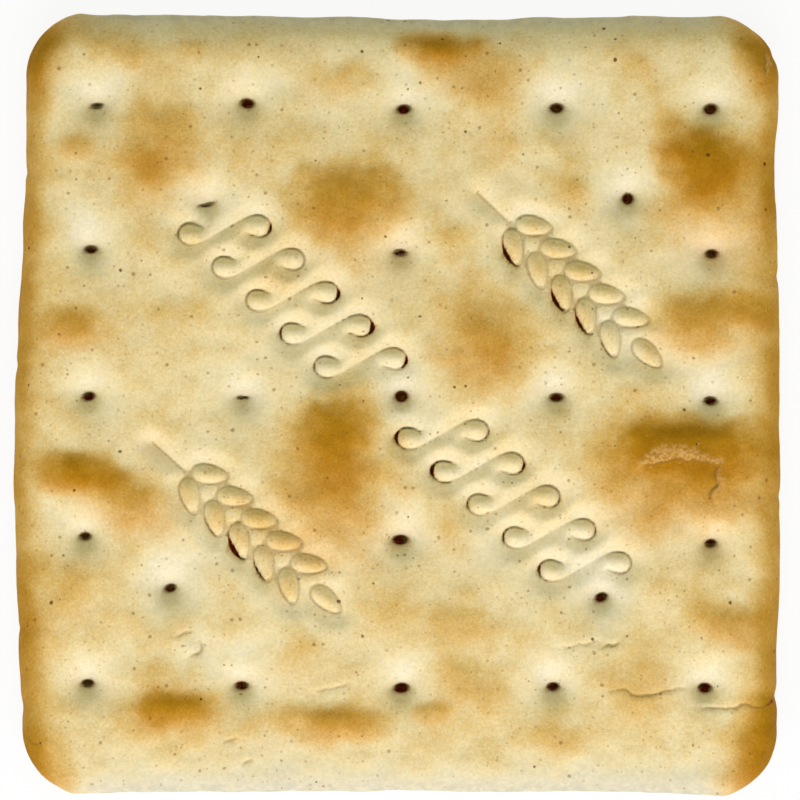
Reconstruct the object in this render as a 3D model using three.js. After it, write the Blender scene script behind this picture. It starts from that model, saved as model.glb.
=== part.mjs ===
// A cream cracker: one square, blistered, baked biscuit, lying on its underside.
// Millimetres, +X right and +Y up across the face, +Z up through the biscuit. The origin is the
// middle of its box at the bottom. The browned sides face -X and +X, and the pale broken ones face
// -Y and +Y, where the sheet of dough was cut from its neighbours.

import * as THREE from 'three';
import { ConvexHull } from 'three/addons/math/ConvexHull.js';

// Driving dimensions.
const width = 67;
const depth = 68.2;
const cornerRadius = 5.7;
const faceHeight = 5.9;
const rimHeight = 3.7;
const shoulderWidth = 2.9;
const crustColour = 0xe6cf96;

// How far each side stands in from the box, at stations along it. The left and right sides are
// read from the bottom up, and the top and bottom sides from left to right.
const stationPitch = 7;
const sideInset = {
  left: [0.82, 0.56, 0.32, 0.12, 0.22, 0.48, 0.87, 1.17, 1.17],
  right: [0.33, 0.39, 0.07, 0.07, 0.13, 0.15, 0.33, 0.53, 0.19],
  top: [0.19, 0.08, 0.18, 0.25, 0.42, 0.51, 0.29, 0.19, 0.27],
  bottom: [0.19, 0.36, 0.32, 0.35, 0.4, 0.31, 0.33, 0.25, 0.03],
};

// A slight waviness of the outline, stronger on the broken sides.
const ripple = { browned: 0.05, broken: 0.13, waves: [1.9, 3.1, 5.3] };

// The side wall, from the rim down to the underside: heights, and how far each one stands in. The
// browned sides are smooth, and the broken ones show the edges of the layers of dough.
const sideRows = [
  { height: rimHeight, browned: 0.3, broken: 0.3 },
  { height: 3.15, browned: 0.06, broken: 0 },
  { height: 2.65, browned: 0, broken: 0.36 },
  { height: 2.15, browned: 0, broken: 0.04 },
  { height: 1.6, browned: 0.06, broken: 0.38 },
  { height: 1.1, browned: 0.16, broken: 0.12 },
  { height: 0.45, browned: 0.5, broken: 0.45 },
  { height: 0, browned: 1.2, broken: 1.1 },
];

// Blisters, where the top layer of the dough lifted: middle, half-lengths, turn in degrees, rise.
const blisters = [
  { x: -4.5, y: 18.2, rx: 4.6, ry: 3.4, turn: -10, rise: 0.75 },
  { x: -5.6, y: -2.6, rx: 3.4, ry: 4.4, turn: 10, rise: 0.7 },
  { x: 24.2, y: -4.2, rx: 6.6, ry: 3.8, turn: -8, rise: 0.95 },
  { x: 26.8, y: 20.9, rx: 3.3, ry: 3.9, turn: 0, rise: 0.7 },
  { x: 3.7, y: 31.2, rx: 4.4, ry: 2, turn: -8, rise: 0.5 },
  { x: -28.1, y: -5.3, rx: 3.8, ry: 1.9, turn: -12, rise: 0.6 },
  { x: -19.3, y: -26.6, rx: 3.4, ry: 1.7, turn: 6, rise: 0.5 },
  { x: 7.6, y: 6.4, rx: 4.6, ry: 3, turn: -30, rise: 0.5 },
  { x: 26.4, y: 7.6, rx: 4.6, ry: 2.2, turn: 8, rise: 0.55 },
  { x: -5.4, y: -27.2, rx: 9.5, ry: 1.5, turn: 0, rise: 0.4 },
  { x: -27.8, y: 7.4, rx: 2.8, ry: 2.2, turn: 0, rise: 0.4 },
  { x: -20.8, y: 21.7, rx: 2.4, ry: 4.6, turn: 15, rise: 0.45 },
  { x: 28.4, y: -18.8, rx: 2.4, ry: 1.6, turn: 0, rise: 0.3 },
];

// Docker holes, pricked through the dough in five rows of five, with gaps that the ornament fills.
// Each has its middle, its half-length and half-width, and its turn in degrees.
const dockers = [
  { x: -26.1, y: 26, along: 0.6, across: 0.42, turn: 0 },
  { x: -13, y: 26.2, along: 0.62, across: 0.42, turn: -12 },
  { x: 0.6, y: 25.7, along: 0.62, across: 0.45, turn: 5 },
  { x: 13.9, y: 25.8, along: 0.62, across: 0.42, turn: 0 },
  { x: 27.3, y: 25.7, along: 0.6, across: 0.45, turn: 8 },
  { x: -16.5, y: 17.4, along: 0.7, across: 0.3, turn: 12 },
  { x: 20.1, y: 17.9, along: 0.5, across: 0.5, turn: 0 },
  { x: -26.6, y: 13.5, along: 0.62, across: 0.45, turn: 0 },
  { x: 0.3, y: 13.2, along: 0.65, across: 0.42, turn: -5 },
  { x: 27.4, y: 13.1, along: 0.6, across: 0.45, turn: 0 },
  { x: -26.8, y: 0.7, along: 0.6, across: 0.42, turn: 10 },
  { x: -13.4, y: 0.6, along: 0.65, across: 0.3, turn: -8 },
  { x: 0.4, y: 0.7, along: 0.66, across: 0.52, turn: 0 },
  { x: 13.9, y: 0.6, along: 0.62, across: 0.4, turn: 0 },
  { x: 27.3, y: 0.3, along: 0.6, across: 0.42, turn: -8 },
  { x: -27.1, y: -11.5, along: 0.62, across: 0.42, turn: 0 },
  { x: 0.3, y: -11.8, along: 0.74, across: 0.46, turn: 0 },
  { x: 27.3, y: -12.1, along: 0.6, across: 0.42, turn: 6 },
  { x: -19.7, y: -16, along: 0.6, across: 0.42, turn: 15 },
  { x: 17.8, y: -16.8, along: 0.62, across: 0.45, turn: 20 },
  { x: -26.9, y: -24.3, along: 0.6, across: 0.42, turn: 0 },
  { x: -13.5, y: -24.5, along: 0.62, across: 0.4, turn: 0 },
  { x: 0.4, y: -24.7, along: 0.62, across: 0.42, turn: 5 },
  { x: 13.6, y: -24.6, along: 0.62, across: 0.4, turn: 0 },
  { x: 26.8, y: -24.7, along: 0.6, across: 0.42, turn: -6 },
];
const dimple = { depth: 1.35, reach: 1.75 };
const pit = { depth: 2.1, start: 0.55, end: 1.2 };
const underDimple = { depth: 0.9, reach: 2.5 };
const underPit = { depth: 0.9, reach: 0.6 };

// The stamped ornament: two rows of lying S-scrolls and two ears of corn, all in one direction.
// Each row has its first place, the step to the next one, and how many there are.
const scrollRows = [
  { x: -14.98, y: 15.16, stepX: 2.954, stepY: -2.884, count: 5 },
  { x: 3.96, y: -2.61, stepX: 3.1, stepY: -2.875, count: 5 },
];
const scroll = {
  slope: 30,
  halfLength: 7.5,
  straight: 1,
  curled: 5.2,
  loopRadius: 0.87,
  easing: 5.7,
  eased: 7.3,
  tailBend: 0.15,
};
const loop = { aside: 3.05, above: 0.4, reach: 0.75, pillow: 0.28 };
const ears = [
  { x: 7, y: 18.4, heading: -43.4 },
  { x: -21.2, y: -3.3, heading: -42.2 },
];
const ear = { stalk: 4.2, pairs: 5, pitch: 2.9, clear: 0.35, pillow: 0.32 };
const grain = { length: 3.3, halfWidth: 0.85, spread: 34 };
const groove = { depth: 0.75, halfWidth: 0.3, trough: 0.4, reach: 1.15 };

// Cracks in the baked skin: round the flake that lifts off the largest blister, and two that run
// in from the right-hand side near its lower corner.
const crackBends = [
  [[21.2, -5], [22.7, -3.8], [24.8, -3.3], [27.3, -4.3], [28, -5.6], [27.7, -7.4]],
  [[18.6, -25.1], [21, -25.5], [23, -24.6], [25.1, -24.9]],
  [[25.5, -26.2], [28.6, -25.6], [31.2, -25.9]],
];
const crack = { depth: 0.35, halfWidth: 0.3 };

// Spacing of the mesh.
const ringStep = 1.2;
const shoulderSteps = [0.45, 1.15, 2.1];
const faceStep = 1.76;
const underStep = 3.4;
const grooveStep = 0.85;
const clearOfGroove = 0.62;
const clearOfPit = 0.95;
const clearOfRing = 0.9;

const rad = THREE.MathUtils.degToRad;
const smoothstep = (value, from, to) => THREE.MathUtils.smoothstep(value, from, to);

// A bell: 1 in the middle, and near 0 at twice the reach.
function bell(distance, reach) {
  return Math.exp(-((distance / reach) ** 2));
}

// How far a place lies inside the box's rounded square, from its nearest side.
function edgeDistance(p, q) {
  const x = Math.abs(p) - (width / 2 - cornerRadius);
  const y = Math.abs(q) - (depth / 2 - cornerRadius);
  const outside = Math.hypot(Math.max(x, 0), Math.max(y, 0));
  return cornerRadius - outside - Math.min(Math.max(x, y), 0);
}

// A side's inset at a place along it: a smooth curve through its stations, and some waviness.
function insetAt(side, along, rippleDepth) {
  const values = sideInset[side];
  const last = values.length - 1;
  const station = THREE.MathUtils.clamp(along / stationPitch + last / 2, 0, last);
  const from = Math.min(Math.floor(station), last - 1);
  const inset = THREE.MathUtils.lerp(values[from], values[from + 1], smoothstep(station - from, 0, 1));
  let wave = 1;
  for (const length of ripple.waves) wave *= Math.sin(2 * Math.PI * along / length + values[0] * width);
  return inset + rippleDepth * wave;
}

// Moves a place in the rounded square to its true place, in a copy of the real, slightly uneven
// outline that stands in by a row's insets.
function toOutline(p, q, row) {
  const insetX = p > 0 ? -insetAt('right', q, ripple.browned) : insetAt('left', q, ripple.browned);
  const insetY = q > 0 ? -insetAt('top', p, ripple.broken) : insetAt('bottom', p, ripple.broken);
  const x = (1 - 2 * row.browned / width) * (p + insetX * (2 * p / width) ** 2);
  const y = (1 - 2 * row.broken / depth) * (q + insetY * (2 * q / depth) ** 2);
  return new THREE.Vector2(x, y);
}

// Finds the place in the rounded square of a true place, by stepping back what it was moved by.
function toSquare(place, row) {
  const rounds = 5;
  const square = place.clone();
  for (let i = 0; i < rounds; i++) {
    const reached = toOutline(square.x, square.y, row);
    square.add(place).sub(reached);
  }
  return square;
}

// One S-scroll. It leaves its middle in a straight line, turns ever tighter into a loop, and eases
// out into a short tail. Its other half is the same line turned by half a turn. Points run from
// end to end.
function scrollLine(centre) {
  const steps = Math.round(scroll.halfLength / grooveStep);
  const fine = 8;
  const step = scroll.halfLength / steps / fine;
  const half = [];
  let heading = Math.PI + rad(scroll.slope);
  let x = 0;
  let y = 0;
  for (let i = 0; i <= steps * fine; i++) {
    if (i % fine === 0) half.push({ x, y });
    const walked = (i + 0.5) * step;
    const curl = smoothstep(walked, scroll.straight, scroll.curled);
    const ease = 1 - (1 - scroll.tailBend) * smoothstep(walked, scroll.easing, scroll.eased);
    heading -= curl * ease / scroll.loopRadius * step;
    x += Math.cos(heading) * step;
    y += Math.sin(heading) * step;
  }
  const other = half.slice(1).map((point) => ({ x: -point.x, y: -point.y }));
  const whole = [...half.reverse(), ...other];
  return whole.map((point) => ({ x: centre.x + point.x, y: centre.y + point.y }));
}

// One grain of the ear: a closed drop, round at its base and pointed at its tip.
function grainLine(base, heading) {
  const steps = Math.round(2.4 * grain.length / grooveStep);
  const points = [];
  for (let i = 0; i <= steps; i++) {
    const angle = 2 * Math.PI * i / steps;
    const along = grain.length * (1 - Math.cos(angle)) / 2;
    const across = grain.halfWidth * Math.sin(angle) * (1.25 - 0.5 * along / grain.length);
    points.push({
      x: base.x + along * Math.cos(heading) - across * Math.sin(heading),
      y: base.y + along * Math.sin(heading) + across * Math.cos(heading),
    });
  }
  return points;
}

// One ear of corn: a stalk, pairs of grains that lean away from it, and one grain at its tip.
function earParts(place) {
  const heading = rad(place.heading);
  const along = (distance, aside) => ({
    x: place.x + distance * Math.cos(heading) - aside * Math.sin(heading),
    y: place.y + distance * Math.sin(heading) + aside * Math.cos(heading),
  });
  const stalkSteps = Math.round(ear.stalk / grooveStep);
  const stalk = [];
  for (let i = 0; i <= stalkSteps; i++) stalk.push(along(ear.stalk * i / stalkSteps, 0));
  const lines = [stalk];
  const pillows = [];
  const addGrain = (distance, side) => {
    const lean = heading + side * rad(grain.spread);
    const base = along(distance, side * ear.clear);
    lines.push(grainLine(base, lean));
    pillows.push({
      x: base.x + grain.length / 2 * Math.cos(lean),
      y: base.y + grain.length / 2 * Math.sin(lean),
      reach: grain.halfWidth,
      rise: ear.pillow,
    });
  };
  for (let pair = 0; pair < ear.pairs; pair++) {
    addGrain(ear.stalk + pair * ear.pitch, 1);
    addGrain(ear.stalk + pair * ear.pitch, -1);
  }
  addGrain(ear.stalk + ear.pairs * ear.pitch, 0);
  return { lines, pillows };
}

// Every stamped line, and the soft pillows that rise inside the loops and the grains.
function makeOrnament() {
  const lines = [];
  const pillows = [];
  for (const row of scrollRows) {
    for (let i = 0; i < row.count; i++) {
      const centre = { x: row.x + i * row.stepX, y: row.y + i * row.stepY };
      lines.push(scrollLine(centre));
      for (const side of [-1, 1]) {
        const x = centre.x + side * loop.aside;
        const y = centre.y + side * loop.above;
        pillows.push({ x, y, reach: loop.reach, rise: loop.pillow });
      }
    }
  }
  for (const place of ears) {
    const parts = earParts(place);
    lines.push(...parts.lines);
    pillows.push(...parts.pillows);
  }
  return { lines, pillows };
}

// One crack: a smooth curve through its bends, in even steps.
function crackLine(bends) {
  const curve = new THREE.SplineCurve(bends.map(([x, y]) => new THREE.Vector2(x, y)));
  return curve.getSpacedPoints(Math.round(curve.getLength() / grooveStep));
}

const ornament = makeOrnament();
const cracks = crackBends.map(crackLine);

// How far a place is from a stretch of line.
function segmentDistance(x, y, from, to) {
  const dx = to.x - from.x;
  const dy = to.y - from.y;
  const part = ((x - from.x) * dx + (y - from.y) * dy) / (dx * dx + dy * dy);
  const t = THREE.MathUtils.clamp(part, 0, 1);
  return Math.hypot(x - from.x - t * dx, y - from.y - t * dy);
}

// How far a place is from the nearest of some lines.
function lineDistance(x, y, lines) {
  let nearest = Infinity;
  for (const line of lines) {
    for (let i = 1; i < line.length; i++) {
      nearest = Math.min(nearest, segmentDistance(x, y, line[i - 1], line[i]));
    }
  }
  return nearest;
}

// A distance from an oval's middle, counted in half-lengths, so that it is 1 on the oval.
function ovalDistance(x, y, oval, along, across) {
  const turn = rad(oval.turn);
  const dx = x - oval.x;
  const dy = y - oval.y;
  const u = (dx * Math.cos(turn) + dy * Math.sin(turn)) / along;
  const v = (dy * Math.cos(turn) - dx * Math.sin(turn)) / across;
  return Math.hypot(u, v);
}

// The height of the face: it rolls down to the rim, rises in blisters and pillows, and sinks in
// the dimples, pits, stamped lines and cracks.
function faceAt(x, y, edge) {
  const roll = THREE.MathUtils.clamp(1 - edge / shoulderWidth, 0, 1);
  const inland = smoothstep(edge, 0.2, shoulderWidth);
  let relief = 0;
  for (const blister of blisters) {
    relief += blister.rise * bell(ovalDistance(x, y, blister, blister.rx, blister.ry), 0.85);
  }
  for (const pillow of ornament.pillows) {
    relief += pillow.rise * bell(Math.hypot(x - pillow.x, y - pillow.y), pillow.reach);
  }
  for (const hole of dockers) {
    const away = Math.hypot(x - hole.x, y - hole.y);
    const wall = ovalDistance(x, y, hole, hole.along, hole.across);
    relief -= dimple.depth * bell(away, dimple.reach);
    relief -= pit.depth * (1 - smoothstep(wall, pit.start, pit.end));
  }
  const line = lineDistance(x, y, ornament.lines);
  relief -= groove.depth * Math.max(0, 1 - line / groove.halfWidth);
  relief -= groove.trough * bell(line, groove.reach);
  relief -= crack.depth * Math.max(0, 1 - lineDistance(x, y, cracks) / crack.halfWidth);
  const shoulder = (faceHeight - rimHeight) * (1 - Math.sqrt(1 - roll * roll));
  return faceHeight - shoulder + relief * inland;
}

// The height of the underside: flat, with a shallow dimple and a pit below each docker hole.
function undersideAt(x, y) {
  let height = 0;
  for (const hole of dockers) {
    const away = Math.hypot(x - hole.x, y - hole.y);
    height += underDimple.depth * (1 - smoothstep(away, 0, underDimple.reach));
    height += underPit.depth * (1 - smoothstep(away, 0, underPit.reach));
  }
  return height;
}

// Points round the rounded square, or a smaller one inside it, counter-clockwise. Each has a like
// place on every ring.
function makeRing(edge) {
  const radius = cornerRadius - edge;
  const halfX = width / 2 - cornerRadius;
  const halfY = depth / 2 - cornerRadius;
  const corners = [[1, -1, -90], [1, 1, 0], [-1, 1, 90], [-1, -1, 180]];
  const arcSteps = Math.round(rad(90) * cornerRadius / ringStep);
  const ring = [];
  corners.forEach(([signX, signY, startAngle], index) => {
    for (let i = 0; i <= arcSteps; i++) {
      const angle = rad(startAngle + 90 * i / arcSteps);
      ring.push(new THREE.Vector2(
        signX * halfX + radius * Math.cos(angle),
        signY * halfY + radius * Math.sin(angle),
      ));
    }
    const [nextX, nextY, nextAngle] = corners[(index + 1) % corners.length];
    const from = ring[ring.length - 1];
    const to = new THREE.Vector2(
      nextX * halfX + radius * Math.cos(rad(nextAngle)),
      nextY * halfY + radius * Math.sin(rad(nextAngle)),
    );
    const sideSteps = Math.round(from.distanceTo(to) / ringStep);
    for (let i = 1; i < sideSteps; i++) ring.push(from.clone().lerp(to, i / sideSteps));
  });
  return ring;
}

// True places across the face that follow its detail: three rows along each stamped line, a middle
// and two rings at each docker hole, and a lattice of triangles everywhere else.
function facePlaces(isInside) {
  const places = [];
  const add = (x, y, gap) => {
    const place = new THREE.Vector2(x, y);
    const isClear = places.every((other) => other.distanceTo(place) > gap);
    if (isInside(place) && isClear) places.push(place);
  };
  for (const hole of dockers) {
    const turn = rad(hole.turn);
    add(hole.x, hole.y, 0);
    for (const [scale, count] of [[pit.start, 6], [pit.end, 9]]) {
      for (let i = 0; i < count; i++) {
        const angle = 2 * Math.PI * (i + 0.1) / count;
        const u = scale * hole.along * Math.cos(angle);
        const v = scale * hole.across * Math.sin(angle);
        const x = hole.x + u * Math.cos(turn) - v * Math.sin(turn);
        const y = hole.y + u * Math.sin(turn) + v * Math.cos(turn);
        add(x, y, 0.05);
      }
    }
  }
  const minimumGap = 0.22;
  const lines = [...ornament.lines, ...cracks];
  for (const side of [0, -1, 1]) {
    for (const line of lines) {
      for (let i = 0; i < line.length; i++) {
        const before = line[Math.max(i - 1, 0)];
        const after = line[Math.min(i + 1, line.length - 1)];
        const run = Math.hypot(after.x - before.x, after.y - before.y);
        const x = line[i].x - side * groove.halfWidth * (after.y - before.y) / run;
        const y = line[i].y + side * groove.halfWidth * (after.x - before.x) / run;
        add(x, y, minimumGap);
      }
    }
  }
  const lattice = [];
  const rowStep = faceStep * Math.sqrt(3) / 2;
  for (let row = -Math.ceil(depth / 2 / rowStep); row * rowStep < depth / 2; row++) {
    for (let column = -Math.ceil(width / 2 / faceStep); column * faceStep < width / 2; column++) {
      const x = (column + (row % 2 === 0 ? 0.25 : -0.25)) * faceStep;
      const y = row * rowStep;
      const nearHole = dockers.some((hole) => Math.hypot(x - hole.x, y - hole.y) < clearOfPit);
      const nearLine = lineDistance(x, y, lines) < clearOfGroove;
      const place = new THREE.Vector2(x, y);
      if (isInside(place) && !nearHole && !nearLine) lattice.push(place);
    }
  }
  return [...places, ...lattice];
}

// True places across the underside: a middle and two rings at each docker hole, and a wide lattice.
function undersidePlaces(isInside) {
  const places = [];
  const ringPoints = 8;
  const clearOfDimple = underDimple.reach + 0.8;
  for (const hole of dockers) {
    places.push(new THREE.Vector2(hole.x, hole.y));
    for (const reach of [underPit.reach, underDimple.reach]) {
      for (let i = 0; i < ringPoints; i++) {
        const angle = 2 * Math.PI * i / ringPoints + reach;
        const place = new THREE.Vector2(reach * Math.cos(angle), reach * Math.sin(angle));
        place.add(new THREE.Vector2(hole.x, hole.y));
        if (isInside(place)) places.push(place);
      }
    }
  }
  for (let y = -depth / 2; y < depth / 2; y += underStep) {
    for (let x = -width / 2; x < width / 2; x += underStep) {
      const nearHole = dockers.some((hole) => Math.hypot(x - hole.x, y - hole.y) < clearOfDimple);
      const place = new THREE.Vector2(x, y);
      if (isInside(place) && !nearHole) places.push(place);
    }
  }
  return places;
}

// Joins flat places into triangles that are as even as they can be. Lifted onto a bowl, the places
// have a hull whose lower faces are those triangles. A tiny seeded shift keeps four from lying on
// one circle.
function triangulate(places) {
  const shift = 1e-4;
  let seed = 7;
  const random = () => {
    seed = (seed * 16807) % 2147483647;
    return seed / 2147483647 - 0.5;
  };
  const lifted = places.map((place, index) => {
    const height = (place.x ** 2 + place.y ** 2 + shift * random()) / width;
    const point = new THREE.Vector3(place.x, place.y, height);
    point.index = index;
    return point;
  });
  const triangles = [];
  const steepest = -0.01;
  for (const face of new ConvexHull().setFromPoints(lifted).faces) {
    if (face.normal.z > steepest) continue;
    const corners = [face.getEdge(0), face.getEdge(1), face.getEdge(2)];
    triangles.push(corners.map((edge) => edge.head().point.index));
  }
  return triangles;
}

// The whole biscuit as one closed surface: the face, the side wall and the underside.
function makeCrackerGeometry() {
  const ring = makeRing(0);
  const positions = [];
  const indices = [];
  const count = ring.length;

  for (const row of sideRows) {
    for (const place of ring) {
      const { x, y } = toOutline(place.x, place.y, row);
      positions.push(x, y, row.height);
    }
  }
  for (let row = 0; row < sideRows.length - 1; row++) {
    for (let i = 0; i < count; i++) {
      const next = (i + 1) % count;
      const above = row * count;
      const below = above + count;
      indices.push(above + i, below + i, below + next);
      indices.push(above + i, below + next, above + next);
    }
  }

  // Adds a sheet whose border is a row of the side wall, with some rings just inside it and then
  // the places of its detail. Its faces point down if it is flipped.
  const addSheet = (makePlaces, row, rings, heightAt, isFlipped) => {
    const insets = sideRows[row];
    const start = positions.length / 3;
    const innermost = Math.max(0, ...rings);
    const detail = makePlaces((place) => {
      const square = toSquare(place, insets);
      return edgeDistance(square.x, square.y) > innermost + clearOfRing;
    });
    const squares = [
      ...rings.flatMap((edge) => makeRing(edge)),
      ...detail.map((place) => toSquare(place, insets)),
    ];
    for (const square of squares) {
      const { x, y } = toOutline(square.x, square.y, insets);
      positions.push(x, y, heightAt(x, y, edgeDistance(square.x, square.y)));
    }
    const toVertex = (index) => (index < count ? row * count + index : start + index - count);
    for (const triangle of triangulate([...ring, ...squares])) {
      const [a, b, c] = triangle.map(toVertex);
      if (isFlipped) indices.push(a, b, c);
      else indices.push(a, c, b);
    }
  };
  addSheet(facePlaces, 0, shoulderSteps, faceAt, false);
  addSheet(undersidePlaces, sideRows.length - 1, [], undersideAt, true);

  const geometry = new THREE.BufferGeometry();
  geometry.setAttribute('position', new THREE.Float32BufferAttribute(positions, 3));
  geometry.setIndex(indices);
  geometry.computeBoundingBox();
  const middle = geometry.boundingBox.getCenter(new THREE.Vector3());
  geometry.translate(-middle.x, -middle.y, 0);
  geometry.computeVertexNormals();
  return geometry;
}

const crust = new THREE.MeshStandardMaterial({ color: crustColour, roughness: 0.85, metalness: 0 });
const cracker = new THREE.Mesh(makeCrackerGeometry(), crust);
cracker.name = 'cracker';

const part = new THREE.Group();
part.add(cracker);
export default part;
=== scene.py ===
import math

import bpy
import numpy as np
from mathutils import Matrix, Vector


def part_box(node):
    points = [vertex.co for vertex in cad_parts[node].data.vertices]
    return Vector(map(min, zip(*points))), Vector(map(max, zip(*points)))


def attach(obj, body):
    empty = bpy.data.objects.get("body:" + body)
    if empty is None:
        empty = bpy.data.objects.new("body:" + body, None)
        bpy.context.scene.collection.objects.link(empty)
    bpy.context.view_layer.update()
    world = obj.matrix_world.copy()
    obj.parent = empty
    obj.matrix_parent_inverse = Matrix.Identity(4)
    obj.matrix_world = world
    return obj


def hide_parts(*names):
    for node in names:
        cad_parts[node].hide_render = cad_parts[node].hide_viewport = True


# A cream cracker, lying face up. Lengths are in millimetres and angles in degrees until the mesh is
# made, and toMetres turns them into Blender's units there.
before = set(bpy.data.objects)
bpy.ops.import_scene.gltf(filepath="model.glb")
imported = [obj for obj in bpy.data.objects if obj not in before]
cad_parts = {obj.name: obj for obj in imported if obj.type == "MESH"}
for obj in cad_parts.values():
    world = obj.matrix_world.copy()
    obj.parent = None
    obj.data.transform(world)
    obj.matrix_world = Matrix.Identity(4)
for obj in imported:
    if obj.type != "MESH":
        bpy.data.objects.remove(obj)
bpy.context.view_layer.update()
toMetres = 0.001


# ---- small tools that work on whole arrays

def smoothStep(value, start, end):
    # 0 up to start, 1 from end on, and an even S between them
    t = np.clip((value - start) / (end - start), 0, 1)
    return t * t * (3 - 2 * t)


def bell(distance, reach):
    # e to the minus (distance / reach) squared: 1 in the middle and near 0 at twice the reach
    return np.exp(-(distance / reach) ** 2)


def mound(distance, height, reach):
    # a bell of that height; where a value below is a pair, it is mostly a height and a reach
    return height * bell(distance, reach)


def latticeNoise(x, y, cell, seed):
    # random values from -1 to 1 on the corners of square cells, blended smoothly between them
    size = 128
    values = np.random.default_rng(seed).uniform(-1, 1, (size, size))
    u, v = x / cell, y / cell
    column, row = np.floor(u).astype(int), np.floor(v).astype(int)
    s, t = smoothStep(u - column, 0, 1), smoothStep(v - row, 0, 1)
    column, row = column % size, row % size
    nextColumn, nextRow = (column + 1) % size, (row + 1) % size
    low = values[row, column] * (1 - s) + values[row, nextColumn] * s
    high = values[nextRow, column] * (1 - s) + values[nextRow, nextColumn] * s
    return low * (1 - t) + high * t


def roughNoise(x, y, cell, seed):
    # lattice noise with finer and weaker copies of itself, each turned so that no grid shows
    total, weight = 0, 0
    for octave in range(3):
        turn = 0.6 + 1.1 * octave
        share = 0.5 ** octave
        u = x * math.cos(turn) - y * math.sin(turn)
        v = x * math.sin(turn) + y * math.cos(turn)
        total = total + share * latticeNoise(u, v, cell * share, seed + octave)
        weight += share
    return total / weight


def ripples(x, y, height, length, seed):
    # rough noise of that height; where a value below has three numbers, they are mostly these
    return height * roughNoise(x, y, length, seed)


def ovalDistance(x, y, oval):
    # distance from an oval's middle, counted so that it is 1 on the oval
    centreX, centreY, halfX, halfY, turn = oval
    c, s = math.cos(math.radians(turn)), math.sin(math.radians(turn))
    dx, dy = x - centreX, y - centreY
    return np.hypot((dx * c + dy * s) / halfX, (dy * c - dx * s) / halfY)


def ovalLine(oval):
    # the oval itself as a closed line, with three empty columns beside its places
    centreX, centreY, halfX, halfY, turn = oval
    c, s = math.cos(math.radians(turn)), math.sin(math.radians(turn))
    t = np.linspace(0, 2 * math.pi, 25)
    along, across = halfX * np.cos(t), halfY * np.sin(t)
    x, y = centreX + along * c - across * s, centreY + along * s + across * c
    return np.column_stack((x, y, np.zeros((len(t), 3))))


def smoothLine(bends):
    # a Catmull-Rom curve through the bends
    step = 0.15
    points = np.array(bends, float)
    points = np.vstack((2 * points[0] - points[1], points, 2 * points[-1] - points[-2]))
    pieces = []
    for a, b, c, d in zip(points, points[1:], points[2:], points[3:]):
        t = np.linspace(0, 1, max(2, int(np.hypot(*(c - b)) / step)), endpoint=False)[:, None]
        bend = (c - a) * t + (2 * a - 5 * b + 4 * c - d) * t ** 2 + (3 * b - a - 3 * c + d) * t ** 3
        pieces.append(b + bend / 2)
    return np.vstack(pieces + [points[-2:-1]])


def lineField(x, y, lines, reach):
    # for each point the nearest place within reach on any line: how far it is, the vector to it, on
    # which side of the line the point lies (1 left, -1 right), and the line's own columns there
    columns = lines[0].shape[1] - 2
    distance, side = np.full(x.shape, float(reach)), np.zeros_like(x)
    toward, carried = np.zeros((len(x), 2)), np.zeros((len(x), columns))
    for line in lines:
        low, high = line[:, :2].min(0) - reach, line[:, :2].max(0) + reach
        near = np.nonzero((x > low[0]) & (x < high[0]) & (y > low[1]) & (y < high[1]))[0]
        start, run = line[:-1, :2], np.diff(line[:, :2], axis=0)
        dx, dy = x[near, None] - start[:, 0], y[near, None] - start[:, 1]
        share = np.clip((dx * run[:, 0] + dy * run[:, 1]) / (run ** 2).sum(1), 0, 1)
        offX, offY = dx - share * run[:, 0], dy - share * run[:, 1]
        away = np.hypot(offX, offY)
        row, best = np.arange(len(near)), away.argmin(1)
        closer = away[row, best] < distance[near]
        row, best, chosen = row[closer], best[closer], near[closer]
        distance[chosen] = away[row, best]
        toward[chosen] = -np.stack((offX[row, best], offY[row, best]), 1)
        side[chosen] = np.sign(run[best, 0] * offY[row, best] - run[best, 1] * offX[row, best])
        t = share[row, best][:, None]
        carried[chosen] = line[best, 2:] * (1 - t) + line[best + 1, 2:] * t
    return distance, toward, side, carried.T


# ---- the outline

body = {
    "width": 67.0,
    "depth": 68.2,
    "cornerRadius": 5.7,
    "faceHeight": 5.9,
    "rimHeight": 3.3,
    "nearRimHeight": 4.8,
    "shoulderWidth": 2.9,
    "nearShoulderWidth": 1.6,
    "slopeWidth": 4.4,  # of the longer slope along the far side
    "slopePower": 2.6,
    "waistHeight": 2.6,  # where the side wall stands out furthest
    "rimInset": 0.3,
    "brokenRimInset": 0.1,
    "underInset": 1.2,
    "rimBlend": 3.0,  # half the width over which two sides' rims meet at a corner
    "reliefStart": 0.1,  # how far from the edge the relief begins
    "stationPitch": 7.0,  # distance between the insets below
    "left": (0.82, 0.56, 0.32, 0.12, 0.22, 0.48, 0.87, 1.17, 1.17),  # upwards
    "right": (0.33, 0.39, 0.07, 0.07, 0.13, 0.15, 0.33, 0.53, 0.19),
    "top": (0.02, 0.00, 0.12, 0.20, 0.38, 0.50, 0.26, 0.15, 0.27),  # to the right
    "bottom": (0.19, 0.36, 0.32, 0.35, 0.40, 0.31, 0.33, 0.25, 0.03),
    "brownedRipple": (0.09, 2.6),  # height and length
    "brokenRipple": (0.13, 2.6),
    "nicks": (  # side (1 right), place along it, depth and reach
        (1, -25.4, 0.22, 0.7), (1, 30.6, 0.14, 0.5), (1, 11.2, 0.12, 0.5), (1, -8.0, 0.10, 0.4),
        (-1, -26.4, 0.16, 0.8), (-1, -19.6, 0.10, 0.4), (-1, 3.4, 0.12, 0.5), (-1, 20.2, 0.10, 0.4),
    ),
    "kinkPlace": 28.9,  # where the cut corners meet the broken sides in a blunt point
    "kink": (0.18, 1.1),
}


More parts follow.
